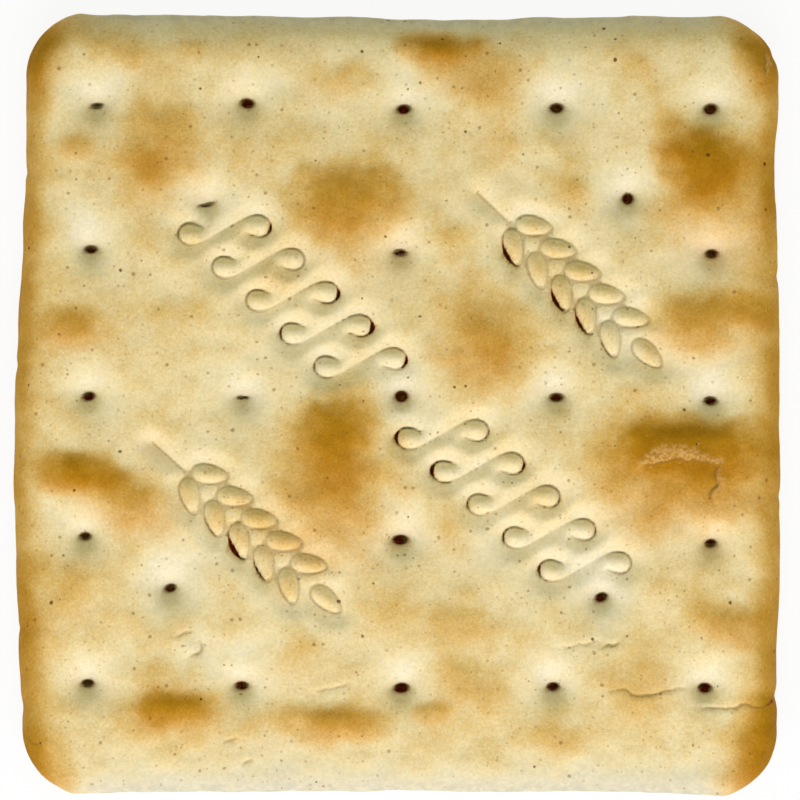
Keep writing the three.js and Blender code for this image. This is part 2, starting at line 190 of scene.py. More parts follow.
def insetAt(side, along, ripple, seed):
    # a smooth curve through the side's insets, with some waviness
    values = np.array(body[side])
    station = np.clip(along / body["stationPitch"] + (len(values) - 1) / 2, 0, len(values) - 1)
    first = np.minimum(np.floor(station).astype(int), len(values) - 2)
    t = smoothStep(station - first, 0, 1)
    waviness = ripples(along, 0 * along, *ripple, seed)
    return values[first] * (1 - t) + values[first + 1] * t + waviness


def toOutline(p, q, inset):
    # moves a place in the even rounded square to its true place on the uneven cracker
    left = insetAt("left", q, body["brownedRipple"], 11)
    right = insetAt("right", q, body["brownedRipple"], 12)
    bottom = insetAt("bottom", p, body["brokenRipple"], 13)
    top = insetAt("top", p, body["brokenRipple"], 14)
    kink = mound(abs(p) - body["kinkPlace"], *body["kink"])
    for side, place, depth, reach in body["nicks"]:
        nick = mound(q - place, depth, reach)
        left, right = left + nick * (side < 0), right + nick * (side > 0)
    x = p + np.where(p > 0, -right, left) * (2 * p / body["width"]) ** 2
    y = q + np.where(q > 0, kink - top, bottom - kink) * (2 * q / body["depth"]) ** 2
    return x * (1 - 2 * inset / body["width"]), y * (1 - 2 * inset / body["depth"])


def roundCorners(p, q):
    # presses a square's corners into quarter circles: where a and b run from 0 to 1 in a corner,
    # (a, b) goes to (a √(1 - b²/2), b √(1 - a²/2))
    radius = body["cornerRadius"]
    straightX, straightY = body["width"] / 2 - radius, body["depth"] / 2 - radius
    a = np.clip((abs(p) - straightX) / radius, 0, 1)
    b = np.clip((abs(q) - straightY) / radius, 0, 1)
    x = np.minimum(abs(p), straightX) + radius * a * np.sqrt(1 - b * b / 2)
    y = np.minimum(abs(q), straightY) + radius * b * np.sqrt(1 - a * a / 2)
    return np.sign(p) * x, np.sign(q) * y


def edgeDistance(p, q):
    # how far a place in the rounded square is from its nearest side
    radius = body["cornerRadius"]
    x, y = abs(p) - (body["width"] / 2 - radius), abs(q) - (body["depth"] / 2 - radius)
    beyond = np.hypot(np.maximum(x, 0), np.maximum(y, 0)) + np.minimum(np.maximum(x, y), 0)
    return np.maximum(radius - beyond, 0)


def rimAt(p, q):
    # how far a place belongs to the near and to the far side, and the rim's height and inset there
    nearerToBroken = body["width"] / 2 - abs(p) - (body["depth"] / 2 - abs(q))
    broken = smoothStep(nearerToBroken, -body["rimBlend"], body["rimBlend"])
    near, far = broken * (q < 0), broken * (q > 0)
    height = body["rimHeight"] + near * (body["nearRimHeight"] - body["rimHeight"])
    inset = body["rimInset"] + broken * (body["brokenRimInset"] - body["rimInset"])
    return near, far, height, inset


# ---- what the baker did: docker holes, blisters, the stamped ornament and cracks

# middle, half-lengths and turn of each docker hole
dockerHoles = (
    (-26.1, 26.0, 0.5, 0.22, 6), (-13.0, 26.2, 0.62, 0.42, -12), (0.6, 25.7, 0.62, 0.4, 5),
    (13.9, 25.8, 0.62, 0.42, 0), (27.3, 25.7, 0.6, 0.45, 8), (-16.5, 17.4, 0.7, 0.15, 12),
    (20.1, 17.9, 0.5, 0.5, 0), (-26.6, 13.5, 0.58, 0.34, 0), (0.3, 13.2, 0.58, 0.28, -5),
    (27.4, 13.1, 0.56, 0.38, 0), (-26.8, 0.7, 0.56, 0.38, 10), (-13.4, 0.6, 0.5, 0.16, -8),
    (0.4, 0.7, 0.6, 0.52, 0), (13.9, 0.6, 0.62, 0.38, 0), (27.3, 0.3, 0.56, 0.36, -8),
    (-27.1, -11.5, 0.52, 0.34, 0), (0.3, -11.8, 0.74, 0.44, 0), (27.3, -12.1, 0.52, 0.38, 6),
    (-19.7, -16.0, 0.52, 0.36, 15), (17.8, -16.8, 0.58, 0.42, 20), (-26.9, -24.3, 0.56, 0.36, 0),
    (-13.5, -24.5, 0.62, 0.38, 0), (0.4, -24.7, 0.72, 0.44, 5), (13.6, -24.6, 0.56, 0.38, 0),
    (26.8, -24.7, 0.62, 0.44, -6),
)
docking = {
    "dimples": ((0.95, 1.0), (0.88, 2.1)),  # depth and reach, of a steep one within a wide one
    "pitDepth": 1.9,
    "pitWall": (0.5, 1.5),  # from the pit's floor to the face, where the hole's outline is 1
    "paintedHighlightShift": 0.8,  # palest dough moved onto the slope facing the bar light: painted highlight
    "paleness": (0.31, 2.5),  # strength and reach
    # strength and reach of a grey ring of painted shade round each hole
    "flourAndShade": (0.55, 0.9),
}

# middle, half-lengths, turn, rise and browning of each blister; a rise below 0 is a hollow, and a
# browning below 0 is a paler place
blisters = (
    (-4.0, 18.3, 4.4, 3.7, -6, 0.85, 0.37), (-3.8, 17.2, 5.6, 5.2, -10, 0.15, 0.23),
    (-5.1, -2.0, 2.9, 4.6, 0, 0.85, 0.43), (-5.2, -5.2, 5.4, 6.8, 0, 0.2, 0.38),
    (25.2, -3.2, 6.1, 2.9, 0, 1.05, 0.66), (23.7, -4.9, 7.8, 5.3, 0, 0.15, 0.42),
    (28.0, -7.4, 3.2, 2.8, -10, 0.1, 0.17), (26.6, 21.8, 3.5, 3.4, -20, 0.75, 0.61),
    (27.8, 19.4, 5.4, 5.4, -10, 0.1, 0.46), (23.8, 24.2, 2.0, 2.5, 0, 0.1, 0.43),
    (3.7, 31.4, 3.6, 1.6, -4, 0.5, 0.64), (6.0, 29.8, 4.6, 2.4, -15, 0.1, 0.25),
    (-27.8, -5.6, 3.3, 2.0, -8, 0.65, 0.63), (-24.6, -7.7, 5.6, 2.4, -22, 0.3, 0.43),
    (-18.7, -26.3, 3.6, 1.7, 8, 0.5, 0.6), (-19.2, -26.2, 4.2, 2.4, 5, 0.1, 0.2),
    (-6.0, -27.4, 4.6, 1.5, -3, 0.45, 0.4), (-7.6, -27.2, 7.4, 2.2, 0, 0.1, 0.14),
    (2.9, -26.6, 1.8, 1.0, 0, 0.2, 0.26), (7.3, 6.8, 3.9, 4.0, -40, 0.45, 0.33),
    (9.0, 4.2, 3.6, 2.8, -10, 0.15, 0.2), (26.4, 7.6, 4.2, 3.0, 0, 0.55, 0.43),
    (30.6, 8.6, 3.0, 1.8, 0, 0.1, 0.28), (-20.3, 23.6, 3.4, 4.0, 10, 0.4, 0.35),
    (-21.4, 20.2, 2.8, 2.8, -20, 0.15, 0.26), (-28.1, 7.1, 3.0, 2.0, -5, 0.4, 0.44),
    (28.5, -18.6, 2.8, 1.9, -20, 0.3, 0.38), (31.2, -28.6, 2.6, 4.2, -20, 0.1, 0.56),
    (31.0, 30.2, 1.8, 2.8, 25, 0.1, 0.28), (-30.6, -30.2, 2.2, 2.8, 30, 0.1, 0.18),
    (-30.4, 30.6, 2.0, 2.6, -30, 0.1, 0.18),
    (-17.8, 31.1, 2.2, 1.0, 5, 0.1, 0.18), (-27.7, 22.7, 1.6, 1.0, 0, 0.15, 0.22),
    (4.8, -18.6, 3.2, 1.9, 0, 0.2, 0.16), (6.0, -23.6, 3.8, 2.2, -10, 0.15, 0.16),
    (21.4, -22.4, 3.0, 4.0, 0, 0.2, 0.16), (13.6, -28.8, 3.4, 1.3, 0, 0.1, 0.14),
    (3.9, -9.0, 2.4, 3.8, 25, 0.15, 0.16), (-5.0, 28.8, 3.0, 2.0, 0, 0.1, 0.16),
    (8.6, 26.0, 2.2, 3.4, 0, 0.15, 0.16), (14.8, 18.6, 3.0, 1.8, -20, 0.15, 0.14),
    (-21.6, -1.8, 2.2, 2.0, 0, 0.15, 0.14), (-10.6, -11.4, 2.0, 1.6, 0, 0.1, 0.14),
    (-7.8, -22.0, 3.6, 1.9, 0, 0.15, 0.14), (-22.6, 30.6, 3.4, 1.6, 0, 0.05, 0.12),
    (5.4, 13.6, 1.6, 2.8, 0, 0.1, 0.12), (21.0, 29.6, 1.6, 1.1, -20, 0.1, 0.12),
    (22.5, 26.9, 1.0, 1.8, 20, 0.1, 0.12), (-23.6, 30.6, 1.6, 1.2, 0, 0.05, 0.1),
    (-20.3, -23.7, 3.2, 1.5, 0, 0.1, 0.12), (-8.6, -20.6, 1.9, 1.5, 0, 0.1, 0.08),
    (-28.2, -15.5, 2.4, 3.4, 0, 0.15, 0.1), (-10.6, 11.8, 2.2, 1.4, -10, 0.15, 0.12),
    (-19.2, 7.4, 2.4, 1.3, 0, 0.1, 0.08), (-18.0, -21.0, 1.0, 0.6, -20, 0.2, -0.1),
    (-27.3, 17.2, 2.8, 2.8, 0, -0.1, -0.14), (16.6, 27.2, 3.0, 1.8, 0, -0.1, -0.1),
    (8.0, -12.5, 6.0, 2.4, 0, -0.1, -0.07), (15.5, -17.5, 7.0, 2.0, 0, -0.1, -0.06),
    (-15.5, -21.0, 5.0, 2.0, 0, -0.1, -0.08), (20.5, 6.5, 2.4, 4.2, 40, -0.1, -0.1),
    (22.0, 12.0, 2.8, 2.6, 0, -0.1, -0.09), (-20.0, 12.0, 3.6, 2.6, -40, -0.05, -0.08),
    (-11.2, -17.6, 3.6, 2.0, -40, -0.05, -0.08), (-7.0, 12.0, 3.4, 2.2, -40, 0.0, -0.09),
    (-31.6, -15.0, 1.8, 5.0, 0, 0.0, 0.13), (10.0, -20.0, 3.2, 1.8, 0, 0.05, 0.09),
)

blistering = {
    "lean": (1.35, 0.85),  # steep at the far side, long and gentle at the near side
    "raggedness": ((0.25, 3.0, 41), (0.12, 1.1, 43)),
    "riseReach": 0.85,
    "brownReach": (0.1, 1.5),  # full up to the first, and gone at the second
    # extra browning at a blister's far side, away from the bar light: painted shade
    "farShadeBrowning": 0.25,
    # strength and reach of the warm tint of painted light on a blister's near slope
    "paintedLitTintStrength": 2.4,
    "paintedLitTintReach": (0.6, 1.6),
}

stamp = {
    "scrollRows": ((-14.98, 15.16, 2.954, -2.884), (3.96, -2.61, 3.100, -2.875)),  # start, step
    "slope": 30,
    "halfLength": 7.5,
    "curl": (1.0, 5.2),  # where the curving begins and is full, from the scroll's middle
    "loopRadius": 0.87,
    "ease": (5.7, 7.3),  # where it begins to ease out and has done so
    "tailBend": 0.15,
    "loopOval": (2.9, 0.55, 1.5, 0.75, 14),  # the puffed tongue of dough inside the right loop
    "tongue": (0.16, 0.04),  # rise and browning
    "pillowReach": 0.95,
    "ears": ((7.0, 18.4, -43.4), (-21.2, -3.3, -42.2)),  # foot and heading
    "stalk": 4.2,
    "stalkCut": 0.7,
    "pairs": 5,
    "pitch": 2.9,
    "clear": 0.35,
    "grainLength": 3.3,
    "grainHalfWidth": 0.85,
    "grainSpread": 34,
    "grain": (0.26, 0.22),
    "cutDepth": 0.32,
    "cutReach": 0.15,
    "step": 0.22,  # how much higher the dough lies inside a loop or grain than outside
    "stepReach": 1.2,
    "stepStart": 0.3,
    "trough": (0.66, 0.90),
    "tearWidth": 0.27,  # from the line to either lip
    "tearLength": 0.62,
    "tearDepth": 1.2,
    "paleness": (0.19, 1.8),
    "reach": 3.0,  # no line is felt beyond this
}
tearing = {
    "lip": 0.05,  # half the width of a line that isn't torn
    "edge": (-0.06, 0.14),  # from the lip down to the tear's floor
}
# how far the dough has torn open round each scroll's left and right end
scrollTears = (
    ((0.2, 0.6), (0.0, 0.0), (0.15, 0.8), (0.5, 1.0), (0.25, 0.7)),
    ((0.8, 0.35), (0.9, 0.6), (0.4, 0.3), (0.45, 0.25), (0.6, 0.1)),
)

# each crack's bends, depth, lip (its height left of the line, and right), the greatest width of the
# pale band on its left, how pale that is, and how far the crack gapes at its end
cracks = (
    (((20.9, -5.5), (22.2, -5.2), (23.7, -4.8), (25.5, -4.8), (27.0, -5.0), (28.2, -5.2)),
     0.18, (0.05, -0.18), 1.5, 0.85, 0),
    (((28.3, -5.0), (27.6, -5.9), (27.8, -6.9), (27.3, -7.7), (27.6, -8.6)),
     0.18, (0.05, -0.08), 0.8, 0.65, 0),
    (((18.6, -25.1), (19.6, -24.8), (20.6, -25.2), (22.4, -25.1), (23.6, -24.8), (25.1, -24.8)),
     0.17, (0.00, 0.06), 0.3, 0.2, 0),
    (((25.8, -26.2), (27.6, -26.4), (29.2, -26.5), (30.4, -26.1), (31.6, -26.4), (33.1, -25.5)),
     0.20, (0.05, 0.00), 0.3, 0.1, 0.30),
    (((-7.2, -24.9), (-5.5, -24.7), (-3.7, -24.2)), 0.16, (0.05, -0.05), 0.3, 0, 0),
    (((-19.2, -20.2), (-18.4, -19.8), (-17.7, -19.6)), 0.15, (0.0, 0.05), 0.3, 0, 0),
    (((-17.2, -20.5), (-17.0, -21.0), (-17.3, -21.6), (-18.0, -21.9)),
     0.18, (0.0, 0.08), 0.3, 0.3, 0),
    (((-15.0, -29.5), (-14.5, -29.1), (-13.8, -28.9)), 0.15, (0.05, 0.0), 0.3, 0, 0),
    (((-13.5, -31.3), (-12.9, -31.0), (-12.4, -30.9)), 0.15, (0.05, 0.0), 0.3, 0, 0),
    (((17.9, -21.2), (18.6, -21.0), (19.4, -20.8)), 0.20, (0.0, 0.10), 0.3, 0, 0),
    (((14.3, -21.0), (16.0, -20.9), (17.6, -20.5)), 0.12, (0.05, 0.0), 0.3, 0, 0),
    (((-32.4, -28.9), (-31.7, -29.4), (-30.9, -29.5)), 0.20, (0.0, 0.05), 0.3, 0, 0),
    (((32.2, 30.6), (32.0, 29.9), (31.9, 29.3), (32.1, 28.6)), 0.16, (-0.05, 0.0), 0.7, 0.6, 0),
)
cracking = {
    "wiggle": (0.25, 0.6),
    "cutReach": 0.13,
    # how dark the painted shade in a crack is for its depth
    "cutShadeStrength": 4.5,
    "lipReach": 0.8,
    "lipStart": 0.12,
    "bandStart": (0.02, 0.1),
    "ragged": (0.5, 0.8, 71),
    "crumbHeight": 0.22,
    "crumbSize": 0.4,
    "gapeDepth": 0.8,
    "reach": 2.0,
}


def scrollLine(centreX, centreY, tears):
    # straight at first, then curving ever tighter into a loop and easing out in a tail; the other
    # half is the same line turned by half a turn. Its columns: how deep it cuts, deepest in the
    # loop, the side on which the dough is raised, and how wide it gapes, most at the loop's tip
    step = 0.1
    walked = np.arange(0, stamp["halfLength"], step) + step / 2
    curl = smoothStep(walked, *stamp["curl"])
    ease = 1 - (1 - stamp["tailBend"]) * smoothStep(walked, *stamp["ease"])
    turned = np.cumsum(curl * ease) * step / stamp["loopRadius"]
    heading = math.pi + math.radians(stamp["slope"]) - turned
    half = np.cumsum(np.stack((np.cos(heading), np.sin(heading)), 1) * step, axis=0)
    tail = 1 - smoothStep(walked, stamp["halfLength"] - 0.9, stamp["halfLength"] + 0.1)
    cut = (0.30 + 0.70 * smoothStep(walked, 1.5, 4.0)) * (0.4 + 0.6 * tail)
    raised = smoothStep(walked, 0.3, 3.0) * tail
    tipReached = walked[np.argmax(turned > math.pi / 2 + math.radians(stamp["slope"]))]
    gape = tearing["lip"] + mound(walked - tipReached, stamp["tearWidth"], stamp["tearLength"])
    left = np.column_stack((half, cut, raised, gape * tears[0]))
    right = np.column_stack((-half, cut, -raised, gape * tears[1]))
    line = np.vstack((left[::-1], (0, 0, cut[0], 0, 0), right))
    return line + (centreX, centreY, 0, 0, 0)


def grainLine(base, heading, tear):
    # a closed drop: along is length (1 - cos t) / 2, and across is halfWidth sin t, fuller at the
    # base. It is cut deepest, and torn, on its right side
    t = np.linspace(0, 2 * math.pi, 49)
    along = stamp["grainLength"] * (1 - np.cos(t)) / 2
    across = stamp["grainHalfWidth"] * np.sin(t) * (1.25 - 0.5 * along / stamp["grainLength"])
    c, s = math.cos(heading), math.sin(heading)
    places = base + np.stack((along * c - across * s, along * s + across * c), 1)
    fromDeepest = t - 1.4 * math.pi
    cut = 0.55 + mound(fromDeepest, 0.45, 1.3)
    gape = tear * (tearing["lip"] + mound(fromDeepest, stamp["tearWidth"], 0.7))
    return np.column_stack((places, cut, -np.ones_like(t), gape))


def makeOrnament():
    # every stamped line, and the pillows of dough (an oval, its rise and its browning) between them
    lines, pillows = [], []
    for row, tears in zip(stamp["scrollRows"], scrollTears):
        for place, tear in enumerate(tears):
            x, y = row[0] + place * row[2], row[1] + place * row[3]
            lines.append(scrollLine(x, y, tear))
            aside, above, *rest = stamp["loopOval"]
            for side in (-1, 1):
                oval = (x + side * aside, y + side * above, *rest)
                pillows.append((oval, *stamp["tongue"]))
    chance = np.random.default_rng(7)
    for footX, footY, degrees in stamp["ears"]:
        heading = math.radians(degrees)
        forward = np.array((math.cos(heading), math.sin(heading)))
        sideways = np.array((-forward[1], forward[0]))
        foot = np.array((footX, footY))
        stalk = foot + np.linspace(0, stamp["stalk"], 40)[:, None] * forward
        cut = np.full(len(stalk), stamp["stalkCut"])
        lines.append(np.column_stack((stalk, cut, np.zeros((len(stalk), 2)))))
        places = [(pair, side) for pair in range(stamp["pairs"]) for side in (1, -1)]
        for pair, side in places + [(stamp["pairs"], 0)]:
            base = foot + (stamp["stalk"] + pair * stamp["pitch"]) * forward
            base = base + side * stamp["clear"] * sideways
            lean = heading + side * math.radians(stamp["grainSpread"])
            lines.append(grainLine(base, lean, max(0, chance.uniform(-0.4, 1)) * (side < 1)))
            halfLength, halfWidth = stamp["grainLength"] / 2, stamp["grainHalfWidth"]
            middle = base + halfLength * np.array((math.cos(lean), math.sin(lean)))
            oval = (*middle, halfLength, halfWidth, math.degrees(lean))
            pillows.append((oval, *stamp["grain"]))
    return lines, pillows


def crackLine(bends, bandWidth, gape):
    # a line through the bends with some wiggle, shallow at both ends unless it gapes at its last
    # one. The pale band beside it starts thin, is widest at a third of the way and thins out again
    places = smoothLine(bends)
    wiggle = cracking["wiggle"]
    wiggles = [ripples(places[:, 0], places[:, 1], *wiggle, seed) for seed in (73, 77)]
    places = places + np.stack(wiggles, 1)
    along = np.linspace(0, 1, len(places))
    cut = np.minimum(1, 5 * along) * (1 if gape else np.minimum(1, 5 * (1 - along)))
    band = bandWidth * smoothStep(along, -0.05, 0.25) * (1 - 0.7 * smoothStep(along, 0.3, 1.1))
    return np.column_stack((places, 0.25 + 0.75 * cut, band, gape * smoothStep(along, 0.75, 1)))


stampedLines, pillows = makeOrnament()
crackLines = [crackLine(bends, bandWidth, gape) for bends, _, _, bandWidth, _, gape in cracks]
holeLines = [ovalLine(oval) for oval in dockerHoles]


# ---- the surface

dough = {
    "waveHeight": 0.44,
    "waveLength": 7.0,
    "dappleHeight": 0.17,
    "dappleLength": 2.4,
}
baking = {
    "base": 0.362,
    "wideSpots": 0.12,  # how much browner and paler the crust is in spots of about 8 mm
    "smallSpots": 0.15,
    "brownedSide": (0.46, 0.50),  # left and right
    "brownedReach": 1.6,
    "reachWander": (0.6, 4.0, 45),
    # the broken sides are paler dough; the near side is made paler, as painted light, and the far
    # side less pale, as painted shade
    "brokenSide": (0.36, 0.10),  # near side and far side
    # the pale band reaches further at the near side, partly as painted light
    "brokenReach": (2.7, 1.6),
    "sideWander": (0.3, 5.0),
    # grey flour and painted shade along the near and far rims
    "flourAndShade": (0.74, 0.75),
    "flourAndShadeReach": 1.1,
    "corner": 0.42,
    "cornerReach": 2.2,
    "cornerExtent": (1, 8),
    "most": 1.25,
}


def atLeast(face, mark, value):
    # raises a mark to the value where it is lower
    face[mark] = np.maximum(face[mark], value)


def addBlisters(face, x, y):
    # each blister is a bell with a ragged edge and its own browning. The browning is tilted towards
    # its far side, which faces away from the bar light, as painted shade, and its near slope, which
    # faces the bar light, gets a warm tint of painted light
    raggedness = sum(ripples(x, y, *kind) for kind in blistering["raggedness"])
    for *oval, rise, browning in blisters:
        centreY, halfY = oval[1], oval[3]
        lean = np.where(y > centreY, *blistering["lean"])
        away = ovalDistance(x, centreY + (y - centreY) * lean, oval) + raggedness
        face["relief"] += mound(away, rise, blistering["riseReach"])
        beyond = (y - centreY) / halfY
        # browner towards the far side, which faces away from the bar light: painted shade
        upper = 1 + blistering["farShadeBrowning"] * np.clip(beyond, -1.5, 1)
        face["bake"] += browning * upper * (1 - smoothStep(away, *blistering["brownReach"]))
        # a warm tint of painted light on the near slope, which faces the bar light
        lower = np.clip(0.05 - beyond, 0, 1)
        lower = lower * (1 - smoothStep(away, *blistering["paintedLitTintReach"]))
        strength = min(1, blistering["paintedLitTintStrength"] * max(0, browning))
        atLeast(face, "paintedLitTint", strength * lower)


def addPillows(face, x, y):
    # the small even bells of dough between the stamped lines
    for oval, rise, browning in pillows:
        puff = bell(ovalDistance(x, y, oval), stamp["pillowReach"])
        face["relief"] += rise * puff
        face["bake"] += browning * puff


def addHoles(face, x, y):
    # a steep dimple within a wide one, and a pit in its middle, with pale dough round it that is
    # palest on the slope facing the bar light, as a painted highlight, a grey ring of painted shade
    # close round it, and painted shade inside the pit
    for oval in dockerHoles:
        away, wall = np.hypot(x - oval[0], y - oval[1]), ovalDistance(x, y, oval)
        for dimple in docking["dimples"]:
            face["relief"] -= mound(away, *dimple)
        face["relief"] -= docking["pitDepth"] * (1 - smoothStep(wall, *docking["pitWall"]))
        # the pale ring is moved onto the slope that faces the bar light: painted highlight
        shifted = np.hypot(x - oval[0], y - oval[1] - docking["paintedHighlightShift"])
        face["bake"] -= mound(shifted, *docking["paleness"])
        atLeast(face, "flourAndShade", mound(away, *docking["flourAndShade"]))
        # the opening mark is where the material paints shade inside the pit
        atLeast(face, "opening", (1 - wall) * oval[3])


def tearOpen(face, inside, depth):
    # sinks the places inside a tear, with a steep edge, and marks them for the painted shade inside
    torn = inside - tearing["lip"]
    face["relief"] -= depth * smoothStep(torn, *tearing["edge"])
    atLeast(face, "opening", torn)


def addStamp(face, x, y):
    # a thin cut in a wide trough, with the dough higher on the inner side
    groove, _, side, (cut, raised, gape) = lineField(x, y, stampedLines, stamp["reach"])
    inner = side * raised * (1 - bell(groove, stamp["stepStart"]))
    face["relief"] += stamp["step"] / 2 * inner * bell(groove, stamp["stepReach"])
    face["relief"] -= stamp["cutDepth"] * cut * bell(groove, stamp["cutReach"])
    face["relief"] -= mound(groove, *stamp["trough"])
    tearOpen(face, gape - groove, stamp["tearDepth"])
    face["bake"] -= mound(groove, *stamp["paleness"])
    # groove and cut steer the painted shade line in the cuts
    face["groove"], face["cut"] = groove, cut


def addCracks(face, x, y):
    # a fine cut with a lip at either side, and a ragged band of bare crumb along some of them
    for line, (_, depth, lips, _, paleness, _) in zip(crackLines, cracks):
        away, _, side, (cut, bandWidth, gape) = lineField(x, y, [line], cracking["reach"])
        lip = np.where(side > 0, *lips) * bell(away, cracking["lipReach"])
        lip = lip * smoothStep(away, 0, cracking["lipStart"])
        face["relief"] = face["relief"] + lip - depth * cut * bell(away, cracking["cutReach"])
        ragged = bandWidth * (1 + ripples(x, y, *cracking["ragged"]))
        band = (side > 0) * smoothStep(away, *cracking["bandStart"])
        band = band * (1 - smoothStep(away, 0.7 * ragged, ragged + 0.01))
        crumbs = latticeNoise(x, y, cracking["crumbSize"], 75)
        face["relief"] += paleness * band * cracking["crumbHeight"] * crumbs
        atLeast(face, "crumb", paleness * band)
        tearOpen(face, gape - away, cracking["gapeDepth"])
        # the painted shade line in a crack is darker the deeper it cuts
        cutShadeStrength = cut * min(1, cracking["cutShadeStrength"] * depth)
        face["cut"] = np.where(away < face["groove"], cutShadeStrength, face["cut"])
        face["groove"] = np.minimum(face["groove"], away)


def bakeSides(face, x, y, p, q):
    # browner along -X and +X and at the corners, and paler along the broken -Y and +Y; the near
    # side is made paler, as painted light, and the far side less pale, as painted shade, and both
    # rims get grey flour and painted shade. The last line holds the browning softly below the most
    fromBrowned, fromBroken = body["width"] / 2 - abs(p), body["depth"] / 2 - abs(q)
    extent = baking["cornerExtent"]
    corner = (1 - smoothStep(fromBrowned, *extent)) * (1 - smoothStep(fromBroken, *extent))
    browned = np.where(p < 0, *baking["brownedSide"])
    browned = browned * (1 + ripples(x, y, *baking["sideWander"], 49))
    brownedReach = baking["brownedReach"] + ripples(x, y, *baking["reachWander"])
    face["bake"] += browned * bell(fromBrowned, brownedReach)
    brokenReach = np.where(q < 0, *baking["brokenReach"])
    brokenReach = brokenReach * (1 + ripples(x, y, *baking["sideWander"], 47))
    broken = bell(fromBroken, brokenReach) * (1 - corner)
    face["bake"] -= np.where(q < 0, *baking["brokenSide"]) * broken
    # grey flour and painted shade along the broken rims
    rimFlourAndShade = bell(fromBroken, baking["flourAndShadeReach"]) * (1 - corner)
    atLeast(face, "flourAndShade", np.where(q < 0, *baking["flourAndShade"]) * rimFlourAndShade)
    corner = baking["corner"] * corner * bell(edgeDistance(p, q), baking["cornerReach"])
    bake = face["bake"] + corner
    face["bake"] = bake / (1 + (np.maximum(bake, 0) / baking["most"]) ** 6) ** (1 / 6)


def shoulderAt(edge, p, q):
    # how far the face drops towards the rim: round, or a longer slope along the far side
    near, far, rim, _ = rimAt(p, q)
    drop = body["faceHeight"] - rim
    width = body["shoulderWidth"] + near * (body["nearShoulderWidth"] - body["shoulderWidth"])
    roll = np.clip(1 - edge / width, 0, 1)
    slope = np.clip(1 - edge / body["slopeWidth"], 0, 1) ** body["slopePower"]
    return drop * (1 - np.sqrt(1 - roll ** 2)) * (1 - far) + drop * slope * far


def faceAt(x, y, p, q):
    # face height: slow waves, blisters and pillows, less dimples, pits, cuts and cracks, all fading
    # at the edge, less the shoulder. With it come the marks that the material reads
    waves = roughNoise(x, y, dough["waveLength"], 21)
    dapples = roughNoise(x, y, dough["dappleLength"], 25)
    face = {
        "relief": dough["waveHeight"] * waves + dough["dappleHeight"] * dapples,
        "bake": baking["base"] + baking["wideSpots"] * waves + baking["smallSpots"] * dapples,
        "paintedLitTint": np.zeros_like(x),
        "flourAndShade": np.zeros_like(x),
        "opening": np.full(x.shape, -1.0),  # how far inside a hole or tear, below 0 outside all
        "crumb": np.zeros_like(x),
    }
    for addForm in (addBlisters, addPillows, addHoles, addStamp, addCracks):
        addForm(face, x, y)
    bakeSides(face, x, y, p, q)
    edge = edgeDistance(p, q)
    inland = smoothStep(edge, body["reliefStart"], body["shoulderWidth"])
    height = body["faceHeight"] - shoulderAt(edge, p, q) + face.pop("relief") * inland
    return height, face


def plainMarks(bake, flourAndShade=0.0, opening=-1.0):
    # the marks of a place with no crumb, groove or cut
    flat = 0 * bake
    marks = {"bake": bake, "paintedLitTint": flat, "flourAndShade": flat + flourAndShade, "opening": flat + opening}
    return marks | {"crumb": flat, "groove": flat + 3, "cut": flat}


underside = {
    "hollows": (5.0, 51),
    "hollowRise": 0.12,
    "bake": 0.62,
    "paleHollows": 0.35,
    "dapples": (0.1, 1.8, 55),
    "dents": ((0.8, 2.3), (0.9, 0.6)),  # height and reach of each dimple, and of the pit in it
    "holeRadius": 0.3,
    "paleness": (0.45, 2.2),
    "edgeWidth": 2.0,
}


def undersideAt(x, y, p, q):
    # underside height: flat at 0, with low hollows, and a dimple and a pit below each docker hole
    waves = roughNoise(x, y, *underside["hollows"])
    rise = underside["hollowRise"] * smoothStep(waves, 0.0, 0.7)
    bake = underside["bake"] - underside["paleHollows"] * smoothStep(waves, -0.2, 0.6)
    bake = bake + ripples(x, y, *underside["dapples"])
    opening = np.full(x.shape, -1.0)
    for oval in dockerHoles:
        away = np.hypot(x - oval[0], y - oval[1])
        for height, reach in underside["dents"]:
            rise = rise + height * (1 - smoothStep(away, 0, reach))
        bake = bake - mound(away, *underside["paleness"])
        opening = np.maximum(opening, underside["holeRadius"] - away)
    height = rise * smoothStep(edgeDistance(p, q), 0, underside["edgeWidth"])
    return height, plainMarks(bake, opening=opening)


meshDetail = {
    "faceCells": 240,
    "underCells": 120,  # half as many, so that every second point of the side meets one
    "sideRows": 21,
    "edgeCrowding": 0.04,
    "gatherReach": 0.75,
    "gatherShare": 0.6,
    "gatherStart": (0.3, 1.2),  # from the edge
}


def gridPlaces(cells):
    # an even grid of the rounded square, a little denser at its sides
    t = np.linspace(-1, 1, cells + 1)
    crowding = meshDetail["edgeCrowding"]
    t = (t - crowding * t ** 15) / (1 - crowding)
    v, u = np.meshgrid(t, t, indexing="ij")
    p, q = roundCorners(u * body["width"] / 2, v * body["depth"] / 2)
    return p.ravel(), q.ravel()


def gatherToLines(x, y, lines):
    # draws points within reach of a line towards it, so that narrow grooves get more of them
    reach = meshDetail["gatherReach"]
    distance, toward, _, _ = lineField(x, y, lines, reach)
    pull = meshDetail["gatherShare"] * (1 - (distance / reach) ** 1.5)
    return x + toward[:, 0] * pull, y + toward[:, 1] * pull


def borderOrder(cells):
    # the grid's border points, counter-clockwise from the corner at -X -Y
    side, row, last = np.arange(cells), cells + 1, cells
    bottom, right = side, side * row + last
    top, left = last * row + last - side, (last - side) * row
    return np.concatenate((bottom, right, top, left))


def gridQuads(cells, flipped):
    # the four corners of every cell, counter-clockwise from above unless flipped
    row, column = np.meshgrid(np.arange(cells), np.arange(cells), indexing="ij")
    corner = (row * (cells + 1) + column).ravel()
    quads = np.stack((corner, corner + 1, corner + cells + 2, corner + cells + 1), 1)
    return quads[:, ::-1] if flipped else quads


